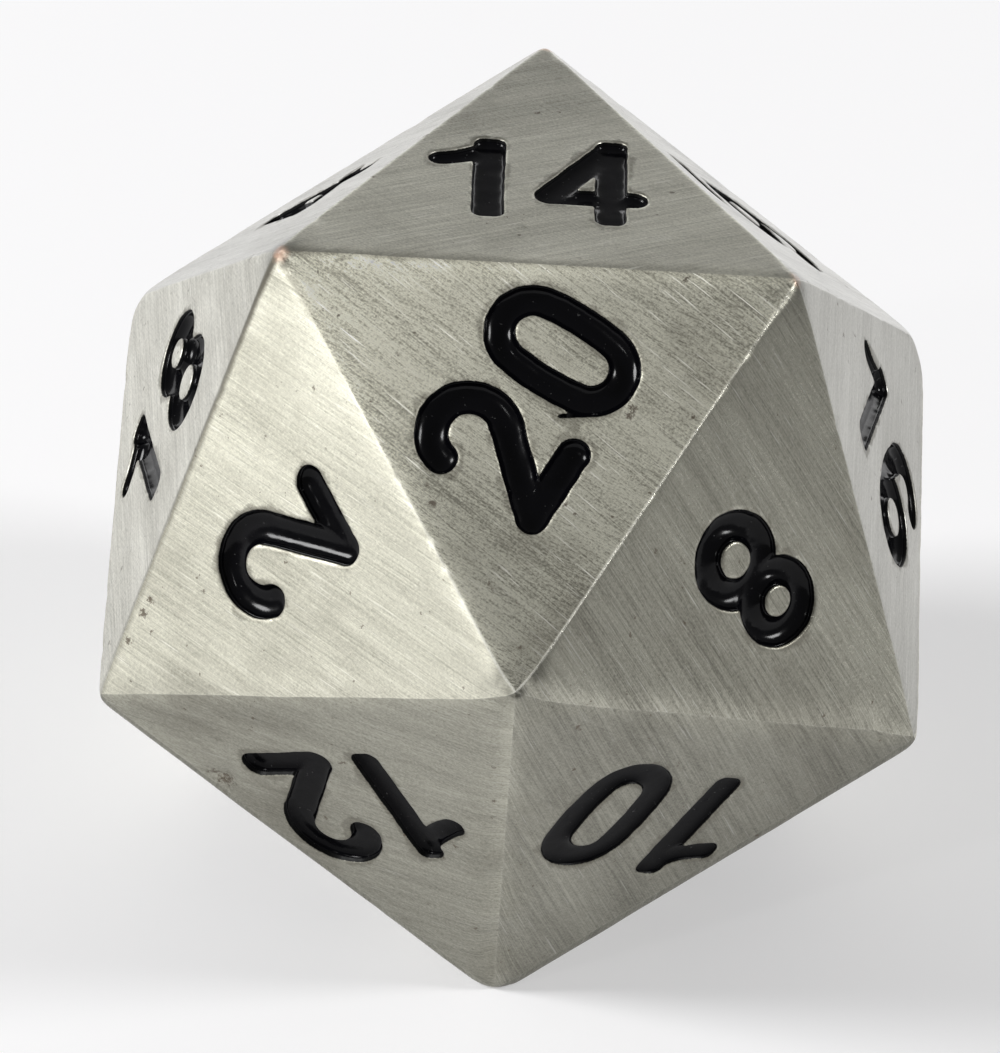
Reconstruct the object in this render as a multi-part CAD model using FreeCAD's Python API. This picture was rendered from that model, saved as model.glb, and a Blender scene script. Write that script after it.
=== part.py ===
import FreeCAD, Part
import math
import os

"""A cast metal twenty-sided die, resting on its 7 with the 14 on top.

Units are millimetres.  +Z is up, the origin is on the resting plane under the
middle of the die, -Y points to the 20 and the mirror plane of the 14 and the 20 is YZ.
One solid is the casting; every numeral is a recess holding its own pool of enamel.
"""

os.makedirs("parts", exist_ok=True)

# ---- Driving dimensions ----------------------------------------------------------------
ACROSS_FLATS = 20.0       # between two opposite faces
EDGE_RADIUS = 0.28        # worn edge between two faces
CORNER_WEAR = 0.20        # how far the tumbled corners are worn below the rounded tip
DIGIT_HEIGHT = 4.30
STROKE = 0.86             # width of a numeral stroke
RECESS_DEPTH = 0.50       # numeral floor below the face
ENAMEL_DROP = 0.05        # rim of the enamel below the face
ENAMEL_COAT = 0.20        # thickness of the enamel on the recess walls
ENAMEL_FLOOR = 0.22       # thickness of the enamel on the recess floor
DIGIT_GAP = 0.37          # clear metal between the two digits of a face
GAP_AFTER_ONE = 0.80      # the same where the first digit is a narrow 1
WIDER_GAPS = {10: 1.05, 16: 0.90, 18: 0.96}      # the same on numerals that are spaced wider

# ---- Sizes that follow from them -------------------------------------------------------
GOLDEN = (1 + math.sqrt(5)) / 2
HALF_HEIGHT = ACROSS_FLATS / 2
EDGE = HALF_HEIGHT * 12 / (3 * math.sqrt(3) + math.sqrt(15))
TIP_RADIUS = EDGE / math.sqrt(3)          # circle through the corners of a face
BELT_RADIUS = TIP_RADIUS * GOLDEN         # circle through three corners of the belt
CORNER_REACH = EDGE * math.sqrt(GOLDEN * math.sqrt(5)) / 2
BELT_HEIGHT = math.sqrt(CORNER_REACH ** 2 - BELT_RADIUS ** 2)


def corner(radius, angle, height):
    """Corner of the die from its distance to the axis, its bearing and its height."""
    bearing = math.radians(angle)
    return FreeCAD.Vector(radius * math.cos(bearing), radius * math.sin(bearing), height)


# Corners, seen from the front, as offsets from the middle of the die.
TOP_LEFT = corner(TIP_RADIUS, -150, HALF_HEIGHT)
TOP_RIGHT = corner(TIP_RADIUS, -30, HALF_HEIGHT)
TOP_BACK = corner(TIP_RADIUS, 90, HALF_HEIGHT)
BELT_FRONT = corner(BELT_RADIUS, -90, BELT_HEIGHT)
BELT_LEFT = corner(BELT_RADIUS, 150, BELT_HEIGHT)
BELT_RIGHT = corner(BELT_RADIUS, 30, BELT_HEIGHT)
LOW_LEFT = BELT_RIGHT.negative()
LOW_RIGHT = BELT_LEFT.negative()
BASE_FRONT = TOP_BACK.negative()

# Numbered faces: the corner above the numeral, then the other two.  The face opposite
# a number is twenty-one minus that number, turned through the middle of the die.
FRONT_FACES = {
    20: (TOP_LEFT, BELT_FRONT, TOP_RIGHT),
    18: (BELT_LEFT, TOP_LEFT, LOW_LEFT),
    16: (BELT_RIGHT, TOP_RIGHT, LOW_RIGHT),
    14: (TOP_BACK, TOP_LEFT, TOP_RIGHT),
    12: (BASE_FRONT, LOW_LEFT, BELT_FRONT),
    10: (BASE_FRONT, BELT_FRONT, LOW_RIGHT),
    8: (LOW_RIGHT, BELT_FRONT, TOP_RIGHT),
    6: (BELT_RIGHT, TOP_BACK, TOP_RIGHT),
    4: (BELT_LEFT, TOP_BACK, TOP_LEFT),
    2: (LOW_LEFT, TOP_LEFT, BELT_FRONT),
}

# Numerals sit a little off the middle of their face, as in the worn master of the mould:
# sideways, towards the upper corner, and lean in degrees anticlockwise.
NUMERAL_SHIFT = {
    20: (0.12, 0.15, 0.0), 18: (-0.28, 0.36, 0.0), 16: (0.13, 0.42, 0.0), 14: (-0.07, 0.44, 0.0),
    12: (0.42, 0.35, 3.0), 10: (-0.43, 0.30, -3.5), 8: (-0.05, 0.28, 0.0), 2: (0.20, 0.30, 0.0),
    17: (-0.12, 0.0, 0.0), 15: (-0.05, 0.20, 0.0), 13: (0.0, 0.25, 0.0),
}
USUAL_SHIFT = (0.0, 0.35, 0.0)
MARK_DROP = 0.72          # underline of the 6 and the 9, below the foot of the digit
MARK_LENGTH = 2.50
MARK_WEIGHT = 0.75        # share of the usual stroke width

# ---- Numeral shapes --------------------------------------------------------------------
# A digit is a list of strokes in shares of its height, with the origin in its middle:
#   ("line", x, y, other x, other y, weight)      with round ends
#   ("post", x, y, other x, other y, weight)      with nearly square ends
#   ("arc", x, y, radius, first bearing, last bearing, weight)
#   ("oval", x, y, half width, half height, end radius, weight)
# The weight is a share of the usual stroke width; bearings run anticlockwise.
TOP_LINE = 0.5 - STROKE / DIGIT_HEIGHT / 2
DIGITS = {
    "0": [("oval", 0, 0, 0.215, TOP_LINE, 0.200, 0.93)],
    "1": [("post", 0.10, TOP_LINE - 0.03, 0.10, 0.03 - TOP_LINE, 0.96),
          ("arc", -0.30, 0.76, 0.57, 281, 317, 0.76)],
    "2": [("arc", 0, 0.178, 0.222, -43, 164, 1.0),
          ("line", 0.162, 0.027, -0.225, -TOP_LINE, 1.0),
          ("line", -0.225, -TOP_LINE, 0.228, -TOP_LINE, 0.98)],
    "3": [("arc", 0, 0.203, 0.195, -90, 165, 1.0),
          ("arc", 0, -0.190, 0.212, -165, 90, 1.0),
          ("line", -0.06, 0.012, 0.02, 0.012, 0.9)],
    "4": [("post", 0.125, TOP_LINE, 0.125, -TOP_LINE, 0.94),
          ("line", -0.235, -0.19, 0.255, -0.19, 0.90),
          ("line", -0.235, -0.17, 0.115, TOP_LINE, 0.92)],
    "5": [("line", -0.15, TOP_LINE, 0.19, TOP_LINE, 0.98),
          ("line", -0.15, TOP_LINE, -0.19, 0.02, 0.92),
          ("arc", -0.01, -0.170, 0.230, -158, 134, 1.0)],
    "6": [("arc", 0, -0.192, 0.212, 0, 360, 0.92),
          ("arc", 0.005, 0.180, 0.217, 28, 172, 0.95),
          ("arc", 0.49, -0.030, 0.732, 161.5, 190, 0.95)],
    "7": [("line", -0.205, TOP_LINE, 0.205, TOP_LINE, 0.98),
          ("line", 0.205, TOP_LINE, -0.085, -TOP_LINE, 1.0)],
    "8": [("arc", 0, 0.224, 0.186, 0, 360, 0.90),
          ("arc", 0, -0.200, 0.206, 0, 360, 0.94)],
}
POST_ROUNDING = 0.28      # corner radius of a square stroke end
CUT_OVERRUN = 0.3         # recess cutters stand this far out of the face


def ring_point(x, y, radius, angle):
    """Point on a circle at a bearing in degrees."""
    bearing = math.radians(angle)
    return FreeCAD.Vector(x + radius * math.cos(bearing), y + radius * math.sin(bearing), 0)


def arc_edge(x, y, radius, first, last):
    """Circular edge from one bearing to another."""
    bearings = (first, (first + last) / 2, last)
    return Part.Arc(*[ring_point(x, y, radius, angle) for angle in bearings]).toShape()


def line_face(x, y, other_x, other_y, half, reach, rounding):
    """Straight stroke, `half` wide to each side and `reach` past its two ends."""
    span = math.hypot(other_x - x, other_y - y) / 2 + reach - rounding
    side = half - rounding
    pivots = ((span, -side, -90), (span, side, 0), (-span, side, 90), (-span, -side, 180))
    edges = []
    for pivot, following in zip(pivots, pivots[1:] + pivots[:1]):
        edges.append(arc_edge(pivot[0], pivot[1], rounding, pivot[2], pivot[2] + 90))
        start = ring_point(pivot[0], pivot[1], rounding, pivot[2] + 90)
        stop = ring_point(following[0], following[1], rounding, following[2])
        if start.distanceToPoint(stop) > 1e-6:
            edges.append(Part.LineSegment(start, stop).toShape())
    face = Part.Face(Part.Wire(edges))
    middle = FreeCAD.Vector((x + other_x) / 2, (y + other_y) / 2, 0)
    tilt = math.degrees(math.atan2(other_y - y, other_x - x))
    face.Placement = FreeCAD.Placement(middle, FreeCAD.Rotation(FreeCAD.Vector(0, 0, 1), tilt))
    return face


def arc_face(x, y, radius, first, last, half):
    """Curved stroke with round ends, or a whole ring."""
    if last - first == 360:
        middle = FreeCAD.Vector(x, y, 0)
        outer, inner = [Part.Face(Part.Wire(Part.makeCircle(reach, middle)))
                        for reach in (radius + half, radius - half)]
        return outer.cut(inner)
    start = ring_point(x, y, radius, first)
    stop = ring_point(x, y, radius, last)
    return Part.Face(Part.Wire([
        arc_edge(x, y, radius + half, first, last),
        arc_edge(stop.x, stop.y, half, last, last + 180),
        arc_edge(x, y, radius - half, last, first),
        arc_edge(start.x, start.y, half, first + 180, first + 360),
    ]))


def oval_wire(x, y, half_width, half_height, end_radius):
    """Upright oval from two tight end arcs and two long side arcs that meet smoothly."""
    rise = half_height - end_radius
    side_radius = (half_width ** 2 + rise ** 2 - end_radius ** 2) / (2 * (half_width - end_radius))
    inset = side_radius - half_width
    joint = math.degrees(math.atan2(rise, inset))
    return Part.Wire([
        arc_edge(x - inset, y, side_radius, -joint, joint),
        arc_edge(x, y + rise, end_radius, joint, 180 - joint),
        arc_edge(x + inset, y, side_radius, 180 - joint, 180 + joint),
        arc_edge(x, y - rise, end_radius, 180 + joint, 360 - joint),
    ])


def stroke_face(stroke, inset):
    """Flat outline of one stroke in millimetres, drawn in by `inset` all round."""
    kind = stroke[0]
    half = stroke[-1] * STROKE / 2 - inset
    if kind == "arc":
        x, y, radius = [value * DIGIT_HEIGHT for value in stroke[1:4]]
        return arc_face(x, y, radius, stroke[4], stroke[5], half)
    sizes = [value * DIGIT_HEIGHT for value in stroke[1:-1]]
    if kind == "line":
        return line_face(*sizes, half, half, half)
    if kind == "post":
        return line_face(*sizes, half, STROKE / 2 - inset, max(POST_ROUNDING - inset, 0.02))
    x, y, half_width, half_height, end_radius = sizes
    outer = oval_wire(x, y, half_width + half, half_height + half, end_radius + half)
    inner = oval_wire(x, y, half_width - half, half_height - half, end_radius - half)
    return Part.Face(outer).cut(Part.Face(inner))


def digit_solid(digit, inset, floor, height):
    """Upright solid of one digit between two levels."""
    strokes = DIGITS["6" if digit == "9" else digit]
    solids = []
    for stroke in strokes:
        face = stroke_face(stroke, inset)
        face.translate(FreeCAD.Vector(0, 0, floor))
        solids.append(face.extrude(FreeCAD.Vector(0, 0, height)))
    solid = solids[0].fuse(solids[1:]).removeSplitter() if len(solids) > 1 else solids[0]
    if digit == "9":
        solid.rotate(FreeCAD.Vector(0, 0, 0), FreeCAD.Vector(0, 0, 1), 180)
    return solid


def mark_solid(inset, floor, height):
    """Upright solid of the underline that tells a 6 from a 9."""
    half = MARK_WEIGHT * STROKE / 2 - inset
    face = line_face(-MARK_LENGTH / 2 + half + inset, 0, MARK_LENGTH / 2 - half - inset, 0, half, half, half)
    face.translate(FreeCAD.Vector(0, 0, floor))
    return face.extrude(FreeCAD.Vector(0, 0, height))


def numeral_parts(number):
    """Name, digit and place of everything sunk into one face, from the numeral's middle."""
    digits = str(number)
    if number in (6, 9):
        return [("units", digits, 0, 0), ("mark", None, 0, -DIGIT_HEIGHT / 2 - MARK_DROP)]
    if len(digits) == 1:
        return [("units", digits, 0, 0)]
    tens_box, units_box = [digit_solid(digit, 0, 0, 1).BoundBox for digit in digits]
    gap = WIDER_GAPS.get(number, GAP_AFTER_ONE) if digits[0] == "1" else DIGIT_GAP
    left = -(tens_box.XLength + gap + units_box.XLength) / 2
    tens_x = left - tens_box.XMin
    units_x = left + tens_box.XLength + gap - units_box.XMin
    return [("tens", digits[0], tens_x, 0), ("units", digits[1], units_x, 0)]


def sunk_solid(digit, x, y, inset, floor, height):
    """One digit or the underline, moved to its place in the numeral."""
    solid = digit_solid(digit, inset, floor, height) if digit else mark_solid(inset, floor, height)
    solid.translate(FreeCAD.Vector(x, y, 0))
    return solid


# ---- Faces -----------------------------------------------------------------------------
def face_placement(corners):
    """Frame of a face: origin in its middle, Y to its first corner, Z outwards."""
    middle = (corners[0] + corners[1] + corners[2]) * (1 / 3)
    outward = FreeCAD.Vector(middle).normalize()
    upward = (corners[0] - middle).normalize()
    across = upward.cross(outward)
    origin = middle + FreeCAD.Vector(0, 0, HALF_HEIGHT)
    return FreeCAD.Placement(FreeCAD.Matrix(
        across.x, upward.x, outward.x, origin.x,
        across.y, upward.y, outward.y, origin.y,
        across.z, upward.z, outward.z, origin.z,
        0, 0, 0, 1))


def numeral_placement(number, corners):
    """Frame of a numeral: the frame of its face, moved and leaned as the mould has it."""
    sideways, upward, lean = NUMERAL_SHIFT.get(number, USUAL_SHIFT)
    turn = FreeCAD.Rotation(FreeCAD.Vector(0, 0, 1), lean)
    moved = FreeCAD.Placement(FreeCAD.Vector(sideways, upward, 0), turn)
    return face_placement(corners).multiply(moved)


def all_faces():
    """All twenty faces by number."""
    faces = dict(FRONT_FACES)
    for number, corners in FRONT_FACES.items():
        faces[21 - number] = tuple(point.negative() for point in corners)
    return faces


# ---- Casting ---------------------------------------------------------------------------
def blank_die(faces):
    """Solid die before the numerals are cut, with rounded edges and worn corners."""
    shrink = (HALF_HEIGHT - EDGE_RADIUS) / HALF_HEIGHT
    triangles = []
    for corners in faces.values():
        ring = [point * shrink for point in corners]
        triangles.append(Part.Face(Part.makePolygon(ring + ring[:1])))
    core = Part.Solid(Part.Shell(triangles))
    rounded = core.makeOffsetShape(EDGE_RADIUS, 1e-4, join=0)
    if rounded.ShapeType != "Solid":
        rounded = Part.Solid(rounded.Shells[0])
    tip_reach = CORNER_REACH * shrink + EDGE_RADIUS
    worn = rounded.common(Part.makeSphere(tip_reach - CORNER_WEAR))
    worn.translate(FreeCAD.Vector(0, 0, HALF_HEIGHT))
    return worn


def build():
    """Make the casting and every pool of enamel, and write them out."""
    faces = all_faces()
    body = blank_die(faces)
    cutters = []
    for number in sorted(faces):
        placement = numeral_placement(number, faces[number])
        for name, digit, x, y in numeral_parts(number):
            recess = sunk_solid(digit, x, y, 0, -RECESS_DEPTH, RECESS_DEPTH + CUT_OVERRUN)
            recess.Placement = placement.multiply(recess.Placement)
            cutters.append(recess)
            enamel = sunk_solid(digit, x, y, 0, -RECESS_DEPTH, RECESS_DEPTH - ENAMEL_DROP)
            hollow = sunk_solid(digit, x, y, ENAMEL_COAT, ENAMEL_FLOOR - RECESS_DEPTH, RECESS_DEPTH)
            enamel = enamel.cut(hollow)
            enamel.Placement = placement.multiply(enamel.Placement)
            enamel.exportStep(f"parts/face_{number:02d}_{name}_enamel.step")
    body = body.cut(cutters)
    body.exportStep("parts/die_body.step")


build()
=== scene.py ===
import math
import bmesh
import bpy
import numpy as np
from mathutils import Matrix, Vector
from mathutils.geometry import delaunay_2d_cdt


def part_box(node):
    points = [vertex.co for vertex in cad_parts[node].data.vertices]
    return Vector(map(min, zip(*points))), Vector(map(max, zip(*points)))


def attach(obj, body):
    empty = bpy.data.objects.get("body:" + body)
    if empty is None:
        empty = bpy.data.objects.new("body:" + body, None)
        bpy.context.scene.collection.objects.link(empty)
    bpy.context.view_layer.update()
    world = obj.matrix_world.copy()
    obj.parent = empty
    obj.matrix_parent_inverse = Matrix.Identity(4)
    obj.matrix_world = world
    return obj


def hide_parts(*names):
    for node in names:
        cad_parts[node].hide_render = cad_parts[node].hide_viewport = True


# A cast metal twenty-sided die with enamelled numerals, built over its CAD frame. Shapes
# are worked out in millimetres from the middle of the die and written in metres.

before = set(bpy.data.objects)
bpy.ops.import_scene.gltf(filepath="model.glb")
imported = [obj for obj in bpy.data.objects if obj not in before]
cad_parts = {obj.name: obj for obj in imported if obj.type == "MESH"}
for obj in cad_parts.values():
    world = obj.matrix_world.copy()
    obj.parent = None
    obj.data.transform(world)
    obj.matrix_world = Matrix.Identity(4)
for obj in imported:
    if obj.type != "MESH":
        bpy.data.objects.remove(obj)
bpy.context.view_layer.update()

MM = 0.001

# ---- Sizes of the die ----
DIE_LOW, DIE_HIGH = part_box("die_body")
HALF_HEIGHT = (DIE_HIGH[2] - DIE_LOW[2]) / 2 / MM
GOLDEN = (1 + math.sqrt(5)) / 2
EDGE = HALF_HEIGHT * 12 / (3 * math.sqrt(3) + math.sqrt(15))
TIP_RADIUS = EDGE / math.sqrt(3)
BELT_RADIUS = TIP_RADIUS * GOLDEN
CORNER_REACH = EDGE * math.sqrt(GOLDEN * math.sqrt(5)) / 2
BELT_HEIGHT = math.sqrt(CORNER_REACH ** 2 - BELT_RADIUS ** 2)

# ---- Sizes of the numerals ----
DIGIT_HEIGHT = 4.30
STROKE = 0.86
RECESS_DEPTH = 0.50
POST_ROUNDING = 0.28
WALL_DRAFT = 0.03          # the recess narrows by this much towards its floor
LIP = 0.05                 # radius of the worn lip round a recess
LIP_WEAR = 0.8             # share of that lip which is worn away
SWELL = 0.005              # height of the swell of metal outside the lip
SWELL_PLACE = 0.09         # distance of its crest from the recess
SWELL_REACH = 0.06
MARK_LENGTH = 2.50
MARK_WEIGHT = 0.75
SOFT_JOIN = 0.05           # how far the join of two strokes is blended
WOBBLE = 0.014             # how far the hand-cut outlines stray
FAR_AWAY = 9.0             # farther than any point of a face is from its numeral
GLYPH_REACH = 3.2          # more than half the width or height of a digit


def corner(radius, angle, height):
    """Corner of the die from its distance to the axis, its bearing and its height."""
    bearing = math.radians(angle)
    return np.array([radius * math.cos(bearing), radius * math.sin(bearing), height])


IDEAL = {
    "top_left": corner(TIP_RADIUS, -150, HALF_HEIGHT),
    "top_right": corner(TIP_RADIUS, -30, HALF_HEIGHT),
    "top_back": corner(TIP_RADIUS, 90, HALF_HEIGHT),
    "belt_front": corner(BELT_RADIUS, -90, BELT_HEIGHT),
    "belt_left": corner(BELT_RADIUS, 150, BELT_HEIGHT),
    "belt_right": corner(BELT_RADIUS, 30, BELT_HEIGHT),
}
OPPOSITE = {
    "belt_right": "low_left", "belt_left": "low_right", "belt_front": "low_back",
    "top_back": "base_front", "top_right": "base_left", "top_left": "base_right",
}
IDEAL.update({far: -IDEAL[near] for near, far in OPPOSITE.items()})
OPPOSITE.update({far: near for near, far in list(OPPOSITE.items())})

# The casting is a little out of true: how far these corners are moved, in millimetres.
CORNER_SHIFT = {
    "low_right": (-0.16, 0.0, 0.14),
    "belt_front": (0.0, 0.0, 0.07),
    "low_left": (0.03, 0.0, 0.08),
}
ACTUAL = {name: point + CORNER_SHIFT.get(name, (0, 0, 0)) for name, point in IDEAL.items()}

# Lower faces that stand proud of true, in millimetres.
PROUD_FACES = {15: 0.15, 17: 0.20, 5: 0.08, 3: 0.10}

# Corner above the numeral, then the other two; opposite faces add up to twenty-one.
FACES = {
    20: ("top_left", "belt_front", "top_right"),
    18: ("belt_left", "top_left", "low_left"),
    16: ("belt_right", "top_right", "low_right"),
    14: ("top_back", "top_left", "top_right"),
    12: ("base_front", "low_left", "belt_front"),
    10: ("base_front", "belt_front", "low_right"),
    8: ("low_right", "belt_front", "top_right"),
    6: ("belt_right", "top_back", "top_right"),
    4: ("belt_left", "top_back", "top_left"),
    2: ("low_left", "top_left", "belt_front"),
}
FACES.update({21 - number: tuple(OPPOSITE[name] for name in names)
              for number, names in list(FACES.items())})
LEAN = {12: 3.0, 10: -3.5}       # numerals that lean, in degrees anticlockwise

# A slip of the cutter beside the nought of the twenty, from one end to the other on the face.
SLIP_FACE = 20
SLIP_POOL = "face_20_units_enamel"
SLIP = (0.22, -0.72, 0.60, -1.24)
SLIP_WIDTH = 0.11

# ---- Numeral shapes ----
# Strokes in shares of the digit height, with the origin in the middle of the digit:
# ("line", x, y, other x, other y, weight) with round ends, "post" with nearly square ends,
# ("arc", x, y, radius, first bearing, last bearing, weight) and
# ("oval", x, y, half width, half height, end radius, weight).
TOP_LINE = 0.5 - STROKE / DIGIT_HEIGHT / 2
MARK_REACH = (MARK_LENGTH - STROKE * MARK_WEIGHT) / 2 / DIGIT_HEIGHT
DIGITS = {
    "0": [("oval", 0, 0, 0.215, TOP_LINE, 0.200, 0.93)],
    "1": [("post", 0.10, TOP_LINE - 0.03, 0.10, 0.03 - TOP_LINE, 0.96),
          ("arc", -0.30, 0.76, 0.57, 281, 317, 0.76)],
    "2": [("arc", 0, 0.178, 0.222, -43, 164, 1.0),
          ("line", 0.162, 0.027, -0.225, -TOP_LINE, 1.0),
          ("line", -0.225, -TOP_LINE, 0.228, -TOP_LINE, 0.98)],
    "3": [("arc", 0, 0.203, 0.195, -90, 165, 1.0),
          ("arc", 0, -0.190, 0.212, -165, 90, 1.0),
          ("line", -0.06, 0.012, 0.02, 0.012, 0.9)],
    "4": [("post", 0.125, TOP_LINE, 0.125, -TOP_LINE, 0.94),
          ("line", -0.235, -0.19, 0.255, -0.19, 0.90),
          ("line", -0.235, -0.17, 0.115, TOP_LINE, 0.92)],
    "5": [("line", -0.15, TOP_LINE, 0.19, TOP_LINE, 0.98),
          ("line", -0.15, TOP_LINE, -0.19, 0.02, 0.92),
          ("arc", -0.01, -0.170, 0.230, -158, 134, 1.0)],
    "6": [("arc", 0, -0.192, 0.212, 0, 360, 0.92),
          ("arc", 0.005, 0.180, 0.217, 28, 172, 0.95),
          ("arc", 0.49, -0.030, 0.732, 161.5, 190, 0.95)],
    "7": [("line", -0.205, TOP_LINE, 0.205, TOP_LINE, 0.98),
          ("line", 0.205, TOP_LINE, -0.085, -TOP_LINE, 1.0)],
    "8": [("arc", 0, 0.224, 0.186, 0, 360, 0.90),
          ("arc", 0, -0.200, 0.206, 0, 360, 0.94)],
    "mark": [("line", -MARK_REACH, 0, MARK_REACH, 0, MARK_WEIGHT)],
}
DIGITS["9"] = DIGITS["6"]

# ---- Mesh fineness ----
EDGE_ROWS = (0.05, 0.11, 0.19, 0.30, 0.46)     # insets of the rows along a worn edge
EDGE_STEP = 0.14
LIP_ROWS = ((-WALL_DRAFT, 0.085), (0.0, 0.085), (0.02, 0.085), (0.055, 0.085), (0.12, 0.11), (0.27, 0.20))
POOL_ROWS = ((-0.002, 0.085), (-0.02, 0.085), (-0.05, 0.085), (-0.09, 0.085), (-0.15, 0.09),
             (-0.22, 0.09), (-0.30, 0.10), (-0.385, 0.11))
FILL_STEP = 0.36
FILL_PITCH = 0.866         # from one row of fill points to the next, in steps
EDGE_CLEAR = 0.16          # gap between the edge rows and the fill points
RECESS_CLEAR = 0.14        # gap between the numeral rows and the fill points
GRID_STEP = 0.055          # grid on which the outlines of the numerals are found
GRID_MARGIN = (2.4, 2.9)   # how far that grid reaches round the middle of a digit

rng = np.random.default_rng(20)


# ---- Smooth noise ----
def make_waves(count, shortest, longest):
    """Directions, phases and weights of a sum of sine waves, wavelengths in millimetres."""
    lengths = np.exp(rng.uniform(math.log(shortest), math.log(longest), count))
    heading = rng.normal(size=(count, 3))
    heading /= np.linalg.norm(heading, axis=1)[:, None]
    phases = rng.uniform(0, 2 * math.pi, count)
    return heading * (2 * math.pi / lengths)[:, None], phases, (lengths / longest) ** 0.5


def noise_at(points, waves):
    """Value of the waves at points, about -1 to 1."""
    turns, phases, weights = waves
    values = np.sin(points @ turns.T + phases) @ weights
    return values / math.sqrt(0.5 * float((weights ** 2).sum())) / 2


OUTLINE_WAVES = make_waves(40, 0.25, 1.6)
WEAR_WAVES = make_waves(48, 0.5, 6.0)
SURFACE_WAVES = make_waves(30, 3.0, 12.0)


# ---- Distance to a numeral ----
def segment_distance(x, y, ax, ay, bx, by):
    """Distance to a straight centre line."""
    run_x, run_y = bx - ax, by - ay
    share = np.clip(((x - ax) * run_x + (y - ay) * run_y) / (run_x ** 2 + run_y ** 2), 0, 1)
    return np.hypot(x - ax - share * run_x, y - ay - share * run_y)


def arc_distance(x, y, cx, cy, radius, first, last):
    """Distance to a circular centre line between two bearings."""
    away = np.abs(np.hypot(x - cx, y - cy) - radius)
    middle = math.radians((first + last) / 2)
    half_sweep = math.radians((last - first) / 2)
    turn = np.abs((np.arctan2(y - cy, x - cx) - middle + math.pi) % (2 * math.pi) - math.pi)
    ends = [np.hypot(x - cx - radius * math.cos(bearing), y - cy - radius * math.sin(bearing))
            for bearing in (math.radians(first), math.radians(last))]
    return np.where(turn <= half_sweep, away, np.minimum(*ends))


def oval_distance(x, y, half_width, half_height, end_radius):
    """Distance to an upright oval centre line of two tight and two long arcs."""
    rise = half_height - end_radius
    side_radius = (half_width ** 2 + rise ** 2 - end_radius ** 2) / (2 * (half_width - end_radius))
    inset = side_radius - half_width
    joint = math.atan2(rise, inset)
    side_x, side_y = np.abs(x) + inset, np.abs(y)
    on_side = np.arctan2(side_y, side_x) < joint
    return np.where(on_side, np.abs(np.hypot(side_x, side_y) - side_radius),
                    np.abs(np.hypot(np.abs(x), side_y - rise) - end_radius))


def stroke_field(stroke, x, y):
    """Signed distance to the outline of one stroke, negative inside."""
    kind, half = stroke[0], stroke[-1] * STROKE / 2
    sizes = [value * DIGIT_HEIGHT for value in stroke[1:-1]]
    if kind == "arc":
        return arc_distance(x, y, *sizes[:3], *stroke[4:6]) - half
    if kind == "line":
        return segment_distance(x, y, *sizes) - half
    if kind == "oval":
        return oval_distance(x - sizes[0], y - sizes[1], *sizes[2:]) - half
    ax, ay, bx, by = sizes
    length = math.hypot(bx - ax, by - ay)
    along_x, along_y = (bx - ax) / length, (by - ay) / length
    mid_x, mid_y = x - (ax + bx) / 2, y - (ay + by) / 2
    along = np.abs(mid_x * along_x + mid_y * along_y) - (length / 2 + STROKE / 2 - POST_ROUNDING)
    across = np.abs(mid_x * along_y - mid_y * along_x) - (half - POST_ROUNDING)
    outside = np.hypot(np.maximum(along, 0), np.maximum(across, 0))
    return outside + np.minimum(np.maximum(along, across), 0) - POST_ROUNDING


def digit_field(digit, x, y):
    """Signed distance to the outline of one digit, its strokes softly joined."""
    if digit == "9":
        x, y = -x, -y
    total = None
    for stroke in DIGITS[digit]:
        value = stroke_field(stroke, x, y)
        if total is None:
            total = value
        else:
            mix = np.maximum(SOFT_JOIN - np.abs(total - value), 0) / SOFT_JOIN
            total = np.minimum(total, value) - mix ** 2 * SOFT_JOIN / 4
    return total


def glyph_middle(digit):
    """Middle of the box round a digit, from a coarse sampling of its outline."""
    steps = np.linspace(-GLYPH_REACH, GLYPH_REACH, 641)
    x, y = np.meshgrid(steps, steps)
    sign = -1 if digit == "9" else 1
    inside = np.min([stroke_field(stroke, sign * x, sign * y) for stroke in DIGITS[digit]], axis=0) <= 0
    columns, rows = steps[inside.any(axis=0)], steps[inside.any(axis=1)]
    return np.array([(columns[0] + columns[-1]) / 2, (rows[0] + rows[-1]) / 2])


GLYPH_MIDDLE = {digit: glyph_middle(digit) for digit in DIGITS}


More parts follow.
